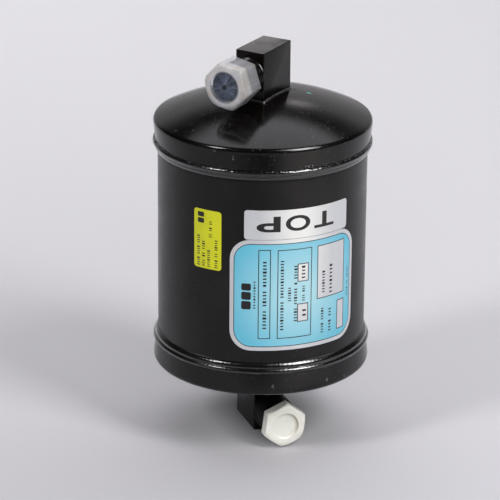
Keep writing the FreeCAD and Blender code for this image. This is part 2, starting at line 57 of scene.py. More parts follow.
# Sizes read from the frame
SHELL_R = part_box("shell")[1].x
SHELL_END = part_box("shell")[1].z
SEAM_LOW, SEAM_HIGH = (corner.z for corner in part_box("upper_seam_weld"))
LIP_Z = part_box("upper_end_cap")[0].z
BLOCK_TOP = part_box("upper_port_block")[1].z
PORT_Z = MOUNTS["upper_port_bore"]["pos_m"][2]

# Sizes of the solids that their boxes don't show
SHELL_WALL = 2.0 * MM
NECK_DEPTH = 0.45 * MM
NECK_RAMP = 0.8 * MM
NECK_GAP = 0.2 * MM
CAP_SHEET = 1.5 * MM
RIM_ROUND = 2.5 * MM
SKIRT_LENGTH = 10.8 * MM
SKIRT_FLARE = 1.05 * MM
DOME_RISE = 13.8 * MM
SEAM_RUN = 2.75 * MM
SEAM_STEP = 1.55 * MM
SEAM_RUN_BEND = 37.0
SEAM_COVER_BEND = 68.0
WELD_GAP = 0.05 * MM
PASSAGE_R = 4.5 * MM
BLOCK_WIDTH = 15.4 * MM
BLOCK_DEPTH = 26.6 * MM
BLOCK_EDGE = 0.5 * MM
BLOCK_WELD = 0.9 * MM
BLOCK_SEAT = 0.1 * MM
SPIGOT_R = 6.0 * MM
SOCKET_R = 6.05 * MM
SOCKET_DEPTH = 5.0 * MM
ROOT_R = 7.4 * MM
ROOT_LENGTH = 1.2 * MM
SHOULDER_RAMP = 1.8 * MM
THREAD_R = 9.525 * MM
THREAD_PITCH = 25.4 / 16 * MM
THREAD_DEPTH = 0.97 * MM
THREAD_LENGTH = 15.2 * MM
THREAD_LEAD = 1.0 * MM
NOSE_R = 7.2 * MM
NOSE_LENGTH = 2.2 * MM
NOSE_EDGE = 0.5 * MM
GROOVE_WIDTH = 2.2 * MM
GROOVE_DEPTH = 1.0 * MM
BORE_R = MOUNTS["upper_port_bore"]["dims"]["r_mm"] * MM
BORE_START = 4.0 * MM
BRAZE_LEG = 0.65 * MM
CAP_FIT = 0.12 * MM
CLEAR_FLATS = 20.6 * MM
CLEAR_GRIP = 8.9 * MM
CLEAR_WALL = 1.45 * MM
CLEAR_TURN = math.radians(-11.7)
WHITE_FLATS = 19.8 * MM
WHITE_GAP = 0.4 * MM
WHITE_WALL = 1.8 * MM
WHITE_TURN = math.radians(22.2)
WHITE_RECESS_R = 6.7 * MM
WHITE_RECESS_DEPTH = 1.1 * MM
CAP_CROWN = 3.4 * MM
CAP_CROWN_START = 1.6 * MM
CAP_CROWN_END = 18.0
CAP_CORNER = 0.4 * MM

# Places worked out from those sizes
NECK_R = SHELL_R - NECK_DEPTH
LIP_R = NECK_R + WELD_GAP + CAP_SHEET
RIM_R = LIP_R + SKIRT_FLARE
RIM_Z = LIP_Z + SKIRT_LENGTH
CROWN_Z = RIM_Z + DOME_RISE
CORNER_R = RIM_R - RIM_ROUND
DOME_R = (CORNER_R ** 2 + DOME_RISE ** 2 - RIM_ROUND ** 2) / (2 * (DOME_RISE - RIM_ROUND))
DOME_Z = CROWN_Z - DOME_R
THREAD_START = ROOT_LENGTH + SHOULDER_RAMP
THREAD_END = THREAD_START + THREAD_LENGTH
FITTING_END = THREAD_END + GROOVE_WIDTH + NOSE_LENGTH
SKIRT_SLOPE = SKIRT_FLARE / (RIM_Z - LIP_Z)

# Where drops of weld spatter crowd on each seam, in degrees to the right of the viewer
SPATTER_TURN = {"upper": 27.0, "lower": 33.0}
# Rubbed places on the lower skirt: degrees to the right, then height and reach in millimetres
SCUFFS = ((38.4, 51.5, 1.6), (50.6, 59.2, 1.2), (37.9, 58.4, 1.2), (7.1, 57.7, 1.3))


def port_turn(mount):
    """How far a port's direction is turned about +Z from -Y."""
    axis = MOUNTS[mount]["axis"]
    return math.atan2(axis[0], -axis[1])


UPPER = Matrix.Rotation(port_turn("upper_port_bore"), 4, "Z")
LOWER = Matrix.Rotation(port_turn("lower_port_bore"), 4, "Z") @ Matrix.Rotation(math.pi, 4, "Y")
ENDS = {"upper": UPPER, "lower": LOWER}
FITTING = Matrix.Translation((0, -BLOCK_DEPTH / 2, PORT_Z)) @ Matrix.Rotation(math.pi / 2, 4, "X")


def dome_height(radius, lift=0.0):
    return DOME_Z + math.sqrt((DOME_R + lift) ** 2 - radius ** 2)


def on_skirt(end, angle, height, sink=0.0):
    """A place on a cap's skirt, angle in radians to the right of the viewer."""
    radius = LIP_R + (height - LIP_Z) * SKIRT_SLOPE - sink
    side = 1 if end == "upper" else -1
    return Vector((radius * math.sin(angle), -radius * math.cos(angle), side * height))


# Materials


class Nodes:
    """Short ways to add nodes to a shader tree. place is the coordinate that patterns follow."""

    def __init__(self, tree, place="Object"):
        self.tree = tree
        self.place = self.node("TexCoord").outputs[place]

    def link(self, source, target):
        self.tree.links.new(source, target)

    def node(self, kind, **settings):
        made = self.tree.nodes.new("ShaderNode" + kind)
        for key, setting in settings.items():
            setattr(made, key, setting)
        return made

    def noise(self, size, detail=2.0, roughness=0.5, stretch=None, place=None):
        """Noise whose features are about size wide."""
        made = self.node("TexNoise")
        made.inputs["Scale"].default_value = 1 / size
        made.inputs["Detail"].default_value = detail
        made.inputs["Roughness"].default_value = roughness
        place = place or self.place
        if stretch is not None:
            mapping = self.node("Mapping")
            mapping.inputs["Scale"].default_value = stretch
            self.link(place, mapping.inputs["Vector"])
            place = mapping.outputs["Vector"]
        self.link(place, made.inputs["Vector"])
        return made.outputs["Fac"]

    def spots(self, size, share, soft=0.3):
        """1 inside scattered round spots, one cell of the pattern being size wide."""
        cells = self.node("TexVoronoi")
        cells.inputs["Scale"].default_value = 1 / size
        self.link(self.place, cells.inputs["Vector"])
        return self.ramp(cells.outputs["Distance"], share, share * (1 - soft), 0, 1)

    def ramp(self, source, low, high, to_low=0.0, to_high=1.0):
        made = self.node("MapRange")
        for socket, number in zip(("From Min", "From Max", "To Min", "To Max"),
                                  (low, high, to_low, to_high)):
            made.inputs[socket].default_value = number
        self.link(source, made.inputs["Value"])
        return made.outputs["Result"]

    def both(self, operation, first, *others):
        """A sum of two sockets or more, taken one after the other."""
        for other in others:
            made = self.node("Math", operation=operation)
            self.link(first, made.inputs[0])
            self.link(other, made.inputs[1])
            first = made.outputs["Value"]
        return first

    def vector(self, operation, first, second=None):
        """A vector sum. Each side is a socket or a plain vector, the second may be a number."""
        made = self.node("VectorMath", operation=operation)
        places = (made.inputs[0], made.inputs["Scale"] if operation == "SCALE" else made.inputs[1])
        for side, target in zip((first, second), places):
            if isinstance(side, bpy.types.NodeSocket):
                self.link(side, target)
            elif side is not None:
                target.default_value = side
        return made.outputs["Value" if operation in ("DOT_PRODUCT", "LENGTH") else "Vector"]

    def distance(self, middle, place=None, weights=None):
        """How far a place is from middle; weights count some axes more than others."""
        away = self.vector("SUBTRACT", place or self.place, middle)
        if weights is not None:
            away = self.vector("MULTIPLY", away, Vector(weights))
        return self.vector("LENGTH", away)

    def round_axis(self, port):
        """Along a fitting's axis, across it, and the length of what lies across."""
        axis = port.to_3x3() @ Vector((0, 0, 1))
        away = self.vector("SUBTRACT", self.place, port.translation)
        along = self.vector("DOT_PRODUCT", away, axis)
        across = self.vector("SUBTRACT", away, self.vector("SCALE", axis, along))
        return along, across, self.vector("LENGTH", across)

    def axes(self):
        split = self.node("SeparateXYZ")
        self.link(self.place, split.inputs["Vector"])
        return split.outputs["X"], split.outputs["Y"], split.outputs["Z"]

    def mix(self, factor, first, second):
        """A blend of two colours, each a socket or plain numbers."""
        mix = self.node("Mix", data_type="RGBA")
        for side, target in ((first, mix.inputs["A"]), (second, mix.inputs["B"])):
            if isinstance(side, bpy.types.NodeSocket):
                self.link(side, target)
            else:
                target.default_value = (*side, 1)
        self.link(factor, mix.inputs["Factor"])
        return mix.outputs["Result"]


class Finish(Nodes):
    """A material on the Principled shader."""

    def __init__(self, name, color, roughness, **sockets):
        self.material = bpy.data.materials.new(name)
        self.material.use_nodes = True
        super().__init__(self.material.node_tree)
        self.shader = self.tree.nodes["Principled BSDF"]
        self.shader.inputs["Base Color"].default_value = (*color, 1)
        self.shader.inputs["Roughness"].default_value = roughness
        for socket, number in sockets.items():
            self.shader.inputs[socket.replace("_", " ")].default_value = number
        self.normal = None

    def blend(self, factor, color):
        """Mixes another colour into what the shader has so far."""
        base = self.shader.inputs["Base Color"]
        so_far = base.links[0].from_socket if base.is_linked else tuple(base.default_value)[:3]
        self.link(self.mix(factor, so_far, color), base)
        return self

    def rough(self, source, low, high):
        """Roughness from low to high where the source goes from 0.3 to 0.7."""
        self.link(self.ramp(source, 0.3, 0.7, low, high), self.shader.inputs["Roughness"])
        return self

    def bump(self, source, height):
        made = self.node("Bump")
        made.inputs["Distance"].default_value = height
        self.link(source, made.inputs["Height"])
        if self.normal is not None:
            self.link(self.normal, made.inputs["Normal"])
        self.normal = made.outputs["Normal"]
        self.link(self.normal, self.shader.inputs["Normal"])
        return self


def black_paint(name, roughness, peel, dust=0.12, film=None, scuffs=(), shine=0.5):
    """Sprayed black enamel: orange peel, slow waves, uneven gloss and specks of dust.

    film is the height of a flat top that carries a thin film of dust, in patches.
    scuffs are places, each with its reach, where the paint is rubbed pale.
    """
    finish = Finish(name, (0.0022, 0.0018, 0.0016), roughness, IOR=1.38, Specular_IOR_Level=shine)
    finish.blend(finish.ramp(finish.noise(14 * MM, 3), 0.45, 0.75), (0.006, 0.005, 0.0044))
    patches = finish.ramp(finish.noise(9 * MM), 0.5, 0.6)
    specks = finish.both("MULTIPLY", finish.spots(1.5 * MM, dust), patches)
    finish.blend(specks, (0.09, 0.085, 0.08))
    if film:
        top_only = finish.ramp(finish.axes()[2], film - 0.3 * MM, film - 0.1 * MM)
        uneven = finish.ramp(finish.noise(16 * MM, 2), 0.28, 0.5)
        finish.blend(finish.both("MULTIPLY", top_only, uneven), (0.085, 0.08, 0.08))
    for middle, reach in scuffs:
        near = finish.ramp(finish.distance(middle), reach, 0.4 * reach)
        worn = finish.ramp(finish.noise(0.9 * MM, 3, 0.7, (1, 1, 0.35)), 0.5, 0.6)
        finish.blend(finish.both("MULTIPLY", near, worn), (0.17, 0.16, 0.145))
    finish.rough(finish.noise(11 * MM, 4, 0.6), roughness - 0.04, roughness + 0.05)
    finish.bump(finish.noise(22 * MM, 1), 0.05 * MM)
    finish.bump(finish.noise(1.3 * MM, 2), peel)
    finish.bump(specks, 0.02 * MM)
    return finish.material


def weld_paint(name, color, roughness, pits):
    """The same enamel over a bead, thick and glossy, with small pits."""
    finish = Finish(name, color, roughness, IOR=1.42, Coat_Weight=0.9, Coat_Roughness=0.12)
    finish.rough(finish.noise(4 * MM, 3), roughness - 0.04, roughness + 0.08)
    finish.bump(finish.ramp(finish.noise(0.8 * MM, 3, 0.6), 0.35, 0.5), pits)
    finish.bump(finish.noise(3 * MM, 2), 0.05 * MM)
    return finish.material


def milky_plastic():
    """Unfilled polyethylene. It is milky where it is thick and clear where it is thin."""
    finish = Finish("milky_plastic", (0.50, 0.50, 0.53), 0.32, IOR=1.5, Subsurface_Weight=1.0,
                    Subsurface_Scale=5 * MM)
    finish.shader.inputs["Subsurface Radius"].default_value = (1.0, 0.9, 0.75)
    along, across, radius = finish.round_axis(UPPER @ FITTING)
    face = finish.ramp(radius, NOSE_R - 0.2 * MM, NOSE_R + 0.9 * MM, 0.045, 0.95)
    side = finish.ramp(along, THREAD_END - 1.2 * MM, THREAD_END + 0.8 * MM, 0.36, 0.95)
    crown = finish.ramp(radius, 8.7 * MM, 10.3 * MM, 1.0, 0.66)
    milk = finish.both("MULTIPLY", finish.both("MINIMUM", face, side), crown)
    streaks = finish.noise(0.17, 4, 0.75, place=finish.vector("NORMALIZE", across))
    streaks = finish.ramp(streaks, 0.48, 0.6, 0, 0.28)
    halo = finish.ramp(radius, 6.5 * MM, 2.0 * MM, 0.3, 1.0)
    milk = finish.both("ADD", milk, finish.both("MULTIPLY", streaks, halo))
    gate = finish.ramp(radius, 1.75 * MM, 1.3 * MM)
    finish.link(finish.both("ADD", milk, gate), finish.shader.inputs["Alpha"])
    finish.blend(finish.ramp(finish.noise(6 * MM, 2), 0.45, 0.75), (0.50, 0.46, 0.40))
    finish.blend(finish.ramp(radius, NOSE_R + 0.5 * MM, NOSE_R - 0.5 * MM), (0.42, 0.50, 0.68))
    finish.blend(gate, (0.004, 0.004, 0.004))
    finish.rough(finish.noise(2.5 * MM, 3), 0.26, 0.4)
    finish.bump(finish.noise(1.2 * MM, 3), 0.02 * MM)
    return finish.material


def white_plastic():
    """Filled polyethylene, with a thin ring of grime round the edge of the recess in its face,
    deepened into painted shade on the ring's upper right side.
    """
    finish = Finish("white_plastic", (0.88, 0.87, 0.79), 0.42, Subsurface_Weight=0.06,
                    Subsurface_Scale=1.0 * MM)
    finish.shader.inputs["Subsurface Radius"].default_value = (1.0, 0.85, 0.7)
    finish.blend(finish.ramp(finish.noise(5 * MM, 2), 0.5, 0.8), (0.78, 0.77, 0.70))
    _, across, radius = finish.round_axis(LOWER @ FITTING)
    # Ring round the recess edge: faint grime all round, and painted shade on the upper right, where
    # the recess wall faces away from the light.
    inner, outer = finish.ramp(radius, 4.6 * MM, 6.0 * MM), finish.ramp(radius, 6.9 * MM, 6.5 * MM)
    up_right = finish.vector("DOT_PRODUCT", across, Vector((0.8, 0, 0.6)))
    painted_shade_side = finish.ramp(up_right, -2 * MM, 5 * MM, 0.1, 0.8)
    finish.blend(finish.both("MULTIPLY", inner, outer, painted_shade_side), (0.50, 0.46, 0.36))
    finish.rough(finish.noise(3 * MM, 3), 0.36, 0.5)
    finish.bump(finish.noise(0.9 * MM, 3), 0.015 * MM)
    return finish.material


def film_surface(finish, low, high):
    """A film's gloss, uneven from the can below and from handling."""
    finish.rough(finish.noise(5 * MM, 3), low, high)
    finish.bump(finish.noise(7 * MM, 2), 0.02 * MM)
    return finish.material


def printed_film(name, color, roughness, second=None, coat=0.25):
    """Print under a clear film. second is the colour that it drifts to."""
    finish = Finish(name, color, roughness, Coat_Weight=coat, Coat_Roughness=0.25)
    tint = second or tuple(0.9 * part for part in color)
    finish.blend(finish.ramp(finish.noise(12 * MM, 2), 0.4, 0.75), tint)
    return film_surface(finish, roughness - 0.05, roughness + 0.08)


def label_paper():
    """Silvery film, with a painted highlight: paler base colour where the film turns to the key light.
    """
    finish = Finish("label_paper", (0.60, 0.61, 0.635), 0.5, Metallic=0.35, Coat_Weight=0.25,
                    Coat_Roughness=0.25)
    turn = math.radians(20)
    # Painted highlight: a pale patch in the base colour round the place where the key light glints on
    # the film.
    lit = Vector((SHELL_R * math.sin(turn), -SHELL_R * math.cos(turn), 18 * MM))
    away = finish.distance(lit, weights=(1, 1, 0.3))
    finish.blend(finish.ramp(away, 19 * MM, 3 * MM), (0.82, 0.82, 0.80))
    return film_surface(finish, 0.44, 0.58)


def bare_steel(name, color, roughness, stretch=None):
    finish = Finish(name, color, roughness, Metallic=1.0)
    finish.rough(finish.noise(1.2 * MM, 4, 0.6, stretch), roughness - 0.08, roughness + 0.12)
    finish.bump(finish.noise(0.6 * MM, 3, 0.6, stretch), 0.01 * MM)
    return finish.material


def felt():
    finish = Finish("pressed_felt", (0.62, 0.58, 0.48), 0.95, Sheen_Weight=0.4)
    finish.blend(finish.ramp(finish.noise(0.7 * MM, 4, 0.7), 0.4, 0.65), (0.74, 0.71, 0.63))
    finish.bump(finish.noise(0.5 * MM, 4, 0.7), 0.3 * MM)
    return finish.material


def beads():
    finish = Finish("drying_beads", (0.55, 0.46, 0.34), 0.85)
    cells = finish.node("TexVoronoi")
    cells.inputs["Scale"].default_value = 1 / (2.2 * MM)
    finish.link(finish.place, cells.inputs["Vector"])
    round_beads = finish.ramp(cells.outputs["Distance"], 0.55, 0.0)
    finish.blend(round_beads, (0.72, 0.63, 0.5))
    finish.bump(round_beads, 0.7 * MM)
    return finish.material


PAINT = black_paint("can_enamel", 0.3, 0.012 * MM)
DOME_PAINT = black_paint("dome_enamel", 0.15, 0.02 * MM, 0.16, scuffs=[
    (on_skirt("lower", math.radians(angle), height * MM), reach * MM)
    for angle, height, reach in SCUFFS])
BLOCK_PAINT = black_paint("block_enamel", 0.19, 0.008 * MM, 0.1, BLOCK_TOP, shine=0.3)
WELD_PAINT = weld_paint("painted_weld", (0.002, 0.0018, 0.0018), 0.17, 0.02 * MM)
# The foot weld's paler enamel is partly dust and partly a painted highlight for the light its thin
# bead catches.
FOOT_WELD_DUST_AND_HIGHLIGHT = weld_paint("thin_weld_dust_and_highlight", (0.022, 0.02, 0.019), 0.26, 0.06 * MM)
CLEAR = milky_plastic()
WHITE = white_plastic()


# Mesh building


def finished(piece, body, slot, *nodes):
    """Ties a finished piece to its body and hides the solids it stands for. slot is not used."""
    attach(piece, body)
    if nodes:
        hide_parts(*nodes)
    return piece


def add_piece(name, verts, faces, material, smooth=35, outward=True):
    mesh = bpy.data.meshes.new(name)
    mesh.from_pydata([tuple(v) for v in verts], [], faces)
    if outward:
        work = bmesh.new()
        work.from_mesh(mesh)
        bmesh.ops.remove_doubles(work, verts=work.verts, dist=1e-7)
        bmesh.ops.recalc_face_normals(work, faces=work.faces)
        work.to_mesh(mesh)
        work.free()
    mesh.materials.append(material)
    mesh.shade_smooth()
    mesh.set_sharp_from_angle(angle=math.radians(smooth))
    piece = bpy.data.objects.new(name, mesh)
    SCENE.collection.objects.link(piece)
    return piece


def arc(centre, radius, start, end, steps):
    """Points of an arc in the r-z plane, angles in degrees from the r axis."""
    return [(centre[0] + radius * math.cos(math.radians(start + (end - start) * i / steps)),
             centre[1] + radius * math.sin(math.radians(start + (end - start) * i / steps)))
            for i in range(steps + 1)]


def stretch(start, end, steps):
    """Points from start up to but without end."""
    return [tuple(a + (b - a) * i / steps for a, b in zip(start, end)) for i in range(steps)]


def turned(name, outline, material, place=None, segments=256, shape=None, smooth=35):
    """Revolves a closed outline of (r, z) about Z. shape may move the rings' points."""
    angles = np.arange(segments) * 2 * math.pi / segments
    r = np.array([p[0] for p in outline])[:, None] * np.ones(segments)
    z = np.array([p[1] for p in outline])[:, None] * np.ones(segments)
    if shape is not None:
        r, z = shape(r, z, angles[None, :] * np.ones_like(r))
    points = np.stack([r * np.cos(angles), r * np.sin(angles), z], axis=2).reshape(-1, 3)
    faces = []
    for i in range(len(outline)):
        nxt = (i + 1) % len(outline)
        for j in range(segments):
            k = (j + 1) % segments
            faces.append((i * segments + j, i * segments + k, nxt * segments + k, nxt * segments + j))
    matrix = np.array(place or Matrix.Identity(4))
    points = points @ matrix[:3, :3].T + matrix[:3, 3]
    return add_piece(name, points, faces, material, smooth)


def made_plain(piece, name):
    """The piece with its modifiers turned into a plain mesh; the original goes."""
    graph = bpy.context.evaluated_depsgraph_get()
    mesh = bpy.data.meshes.new_from_object(piece.evaluated_get(graph), depsgraph=graph)
    plain = bpy.data.objects.new(name, mesh)
    SCENE.collection.objects.link(plain)
    bpy.data.objects.remove(piece)
    mesh.name = name
    return plain


def carve(piece, cutters, smooth=30):
    """Cuts the cutters out of the piece and turns the result into a plain mesh."""
    name = piece.name
    piece.name = name + "_blank"
    for cutter in cutters:
        cut = piece.modifiers.new(cutter.name, "BOOLEAN")
        cut.operation = "DIFFERENCE"
        cut.solver = "EXACT"
        cut.object = cutter
    plain = made_plain(piece, name)
    for cutter in cutters:
        bpy.data.objects.remove(cutter)
    plain.data.shade_smooth()
    plain.data.set_sharp_from_angle(angle=math.radians(smooth))
    return plain


def moved(piece, matrix):
    piece.data.transform(matrix)
    piece.data.update()
    return piece


# The can and its caps


def make_can():
    foot = LIP_Z - NECK_GAP
    head = foot - NECK_RAMP
    outside = [(NECK_R, -SHELL_END), (NECK_R, -foot), (SHELL_R, -head)]
    outside += stretch((SHELL_R, -head), (SHELL_R, head), 24)[1:]
    outside += [(SHELL_R, head), (NECK_R, foot), (NECK_R, SHELL_END)]
    inside = [(r - SHELL_WALL, z) for r, z in reversed(outside)]
    can = turned("can_wall", outside + inside, PAINT, segments=360)
    finished(can, "can", "can_paint", "shell")


def make_dome_cap(end):
    """Skirt, rim corner and dome, with the sheet's thickness all round."""
    lean = math.degrees(math.acos(CORNER_R / (DOME_R - RIM_ROUND)))
    hole = math.degrees(math.acos(PASSAGE_R / DOME_R))
    outer = stretch((LIP_R, LIP_Z), (RIM_R, RIM_Z), 12)
    outer += arc((CORNER_R, RIM_Z), RIM_ROUND, 0, lean, 10)
    outer += arc((0, DOME_Z), DOME_R, lean, hole, 40)[1:]
    inner_r = RIM_ROUND - CAP_SHEET
    hole_in = math.degrees(math.acos(PASSAGE_R / (DOME_R - CAP_SHEET)))
    inner = arc((0, DOME_Z), DOME_R - CAP_SHEET, hole_in, lean, 30)
    inner += arc((CORNER_R, RIM_Z), inner_r, lean, 0, 6)[1:]
    inner += [(LIP_R - CAP_SHEET, LIP_Z)]
    cap = turned(f"{end}_domed_cap", outer + inner, DOME_PAINT, ENDS[end], 360)
    finished(cap, "can", "cap_paint", f"{end}_end_cap")


def fractal(x, y, z, seed):
    return noise.fractal(Vector((x, y, z + 37.1 * seed)), 0.9, 2.0, 3)


def bulge(start, end, bend, steps):
    """An arc from start to end that bulges to the right; bend is half its turn in degrees."""
    chord = Vector(end) - Vector(start)
    half = math.radians(bend)
    radius = chord.length / 2 / math.sin(half)
    left = Vector((-chord.y, chord.x)).normalized()
    centre = (Vector(start) + Vector(end)) / 2 + left * radius * math.cos(half)
    first = math.degrees(math.atan2(start[1] - centre.y, start[0] - centre.x))
    return arc(centre, radius, first, first + 2 * bend, steps)


def make_seam_weld(end, seed):
    """The seam weld in two runs: an even one on the can, a ragged one over the cap's lip."""
    start = (SHELL_R + WELD_GAP, SEAM_LOW)
    step = (SHELL_R + WELD_GAP + SEAM_STEP, SEAM_LOW + SEAM_RUN)
    toe = (LIP_R + (SEAM_HIGH - LIP_Z) * SKIRT_SLOPE + WELD_GAP, SEAM_HIGH)
    face = bulge(start, step, SEAM_RUN_BEND, 12)[:-1] + bulge(step, toe, SEAM_COVER_BEND, 20)
    outline = face + [(LIP_R + WELD_GAP, LIP_Z - WELD_GAP), (SHELL_R + WELD_GAP, LIP_Z - WELD_GAP)]
    count = len(face)
    ripples = 150
    ways = np.gradient(np.array(face), axis=0)
    ways /= np.hypot(ways[:, 0], ways[:, 1])[:, None]
    outward = np.stack([ways[:, 1], -ways[:, 0]], axis=1)
    share = np.linspace(0, 1, count)
    even = np.clip(share / 0.1, 0, 1)
    ragged = np.clip((share - 0.72) / 0.2, 0, 1)

    def shape(r, z, angles):
        for j, angle in enumerate(angles[0]):
            x, y = math.cos(angle), math.sin(angle)
            slow = 0.5 + 0.5 * fractal(5 * x, 5 * y, 0, seed)
            torch = 0.5 + 0.5 * math.cos(angle * ripples + 2 * slow)
            for i in range(count):
                quick = fractal(38 * x, 38 * y, 3 * share[i], seed + 9)
                sink = even[i] * (0.10 * slow + 0.03 * torch) * MM
                sink += ragged[i] * (0.16 + 0.30 * max(quick, -0.4)) * MM
                r[i, j] -= outward[i, 0] * sink
                z[i, j] -= outward[i, 1] * sink
        return r, z

    bead = turned(f"{end}_seam_bead", outline, WELD_PAINT, ENDS[end], 720, shape, smooth=60)
    finished(bead, "can", "weld_paint", f"{end}_seam_weld")


# Port blocks and fittings


def cylinder(name, radius, low, high, place, segments=96):
    return capped(name, [(radius, low), (radius, high)], place, segments)


def capped(name, outline, place, segments=96):
    """A solid turned from an open outline of (r, z), closed by a pole at each end."""
    outline = [(0.0, outline[0][1])] + list(outline) + [(0.0, outline[-1][1])]
    return turned(name, outline, PAINT, place, segments)


def prism(name, corners, low, high, material):
    count = len(corners)
    verts = [(x, y, z) for z in (low, high) for x, y in corners]
    faces = [tuple(range(count)), tuple(range(count, 2 * count))]
    faces += [(i, (i + 1) % count, count + (i + 1) % count, count + i) for i in range(count)]
    return add_piece(name, verts, faces, material)


def bevelled(piece, weights, width, segments):
    """Rounds the edges for which weights gives more than 0, by that share of width."""
    mesh = piece.data
    layer = mesh.attributes.new("bevel_weight_edge", "FLOAT", "EDGE")
    for i, edge in enumerate(mesh.edges):
        ends = [mesh.vertices[v].co for v in edge.vertices]
        layer.data[i].value = weights(*ends)
    bevel = piece.modifiers.new("rounding", "BEVEL")
    bevel.limit_method = "WEIGHT"
    bevel.width = width
    bevel.segments = segments
    name = piece.name
    piece.name = name + "_blank"
    return made_plain(piece, name)


def make_port_block(end):
    """The square bar: rounded edges, a foot cut to the dome, passages and a socket."""
    x, y = BLOCK_WIDTH / 2, BLOCK_DEPTH / 2
    low = CROWN_Z - 6 * MM
    bar = prism(f"{end}_block_body", [(-x, -y), (x, -y), (x, y), (-x, y)], low, BLOCK_TOP, BLOCK_PAINT)
    bar = bevelled(bar, lambda a, b: float(max(a.z, b.z) > low + MM), BLOCK_EDGE, 4)
    turn = Matrix.Rotation(math.pi / 2, 4, "X")
    port = Matrix.Translation((0, 0, PORT_Z)) @ turn
    lifted = DOME_R + BLOCK_SEAT
    reach = math.degrees(math.acos(BLOCK_DEPTH / lifted))
    under = [(BLOCK_DEPTH, low - MM)] + arc((0, DOME_Z), lifted, reach, 89.9, 40)
    cutters = [
        capped("under_dome", under, None, 128),
        cylinder("upright", PASSAGE_R, low - MM, PORT_Z, None),
        cylinder("cross", PASSAGE_R, 0, BLOCK_DEPTH, port),
        cylinder("socket", SOCKET_R, BLOCK_DEPTH / 2 - SOCKET_DEPTH, BLOCK_DEPTH, port),
    ]
    block = carve(bar, cutters)
    finished(moved(block, ENDS[end]), "can", "block_paint", f"{end}_port_block")


def make_fitting(end):
    """The turned fitting with its thread cut in."""
    outline = [(PASSAGE_R, -SOCKET_DEPTH), (SPIGOT_R, -SOCKET_DEPTH), (SPIGOT_R, 0), (ROOT_R, 0)]
    outline += [(ROOT_R, ROOT_LENGTH)]
    rows = int(SHOULDER_RAMP / THREAD_PITCH * 14)
    outline += stretch((ROOT_R, ROOT_LENGTH), (THREAD_R, THREAD_START), rows)[1:]
    rows = int((THREAD_LENGTH - THREAD_LEAD) / THREAD_PITCH * 16)
    outline += stretch((THREAD_R, THREAD_START), (THREAD_R, THREAD_END - THREAD_LEAD), rows)
    outline += stretch((THREAD_R, THREAD_END - THREAD_LEAD), (THREAD_R - THREAD_LEAD, THREAD_END), 10)
    groove = NOSE_R - GROOVE_DEPTH
    outline += [(THREAD_R - THREAD_LEAD, THREAD_END), (groove, THREAD_END)]
    outline += [(groove, THREAD_END + GROOVE_WIDTH), (NOSE_R, THREAD_END + GROOVE_WIDTH)]
    outline += arc((NOSE_R - NOSE_EDGE, FITTING_END - NOSE_EDGE), NOSE_EDGE, 0, 90, 4)
    outline += [(BORE_R, FITTING_END), (BORE_R, BORE_START), (PASSAGE_R, BORE_START)]

    def shape(r, z, angles):
        phase = (z / THREAD_PITCH - angles / (2 * math.pi)) % 1.0
        flat_crest = 1.25
        height = np.clip(np.abs(2 * phase - 1) * flat_crest, 0, 1)
        cut = THREAD_R - THREAD_DEPTH * (1 - height)
        on_thread = (z > ROOT_LENGTH + 0.2 * MM) & (z < THREAD_END - 0.02 * MM)
        on_thread &= r > NOSE_R + 0.2 * MM
        return np.where(on_thread, np.minimum(r, cut), r), z

    place = ENDS[end] @ FITTING
    fitting = turned(f"{end}_threaded_port", outline, BLOCK_PAINT, place, 160, shape, smooth=45)
    finished(fitting, "can", "fitting_paint", f"{end}_port_fitting")


def make_braze(end, seed):
    """An uneven ring of braze round the fitting's neck."""
    inner = ROOT_R + WELD_GAP
    outline = [(inner, WELD_GAP)] + arc((inner, WELD_GAP), BRAZE_LEG, 0, 90, 7)

    def shape(r, z, angles):
        lump = np.array([fractal(4 * math.cos(a), 4 * math.sin(a), 0, seed) for a in angles[0]])
        share = 0.8 + 0.2 * np.clip(lump, -1, 1)
        return inner + (r - inner) * share, WELD_GAP + (z - WELD_GAP) * share

    ring = turned(f"{end}_braze_bead", outline, WELD_PAINT, ENDS[end] @ FITTING, 160, shape, smooth=60)
    finished(ring, "can", "fitting_paint", f"{end}_braze_ring")


def rounded_path(half_x, half_y, corner, step):
    """Points round a rectangle with round corners, and the outward direction at each."""
    path = []
    for sx, sy, start in ((1, 1, 0), (-1, 1, 90), (-1, -1, 180), (1, -1, 270)):
        for i in range(9):
            angle = math.radians(start + 90 * i / 8)
            out = Vector((math.cos(angle), math.sin(angle)))
            path.append((Vector((sx * (half_x - corner), sy * (half_y - corner))) + out * corner, out))
    dense = []
    for (a, out_a), (b, out_b) in zip(path, path[1:] + path[:1]):
        count = max(1, round((b - a).length / step))
        for i in range(count):
            dense.append((a.lerp(b, i / count), out_a.lerp(out_b, i / count).normalized()))
    return dense


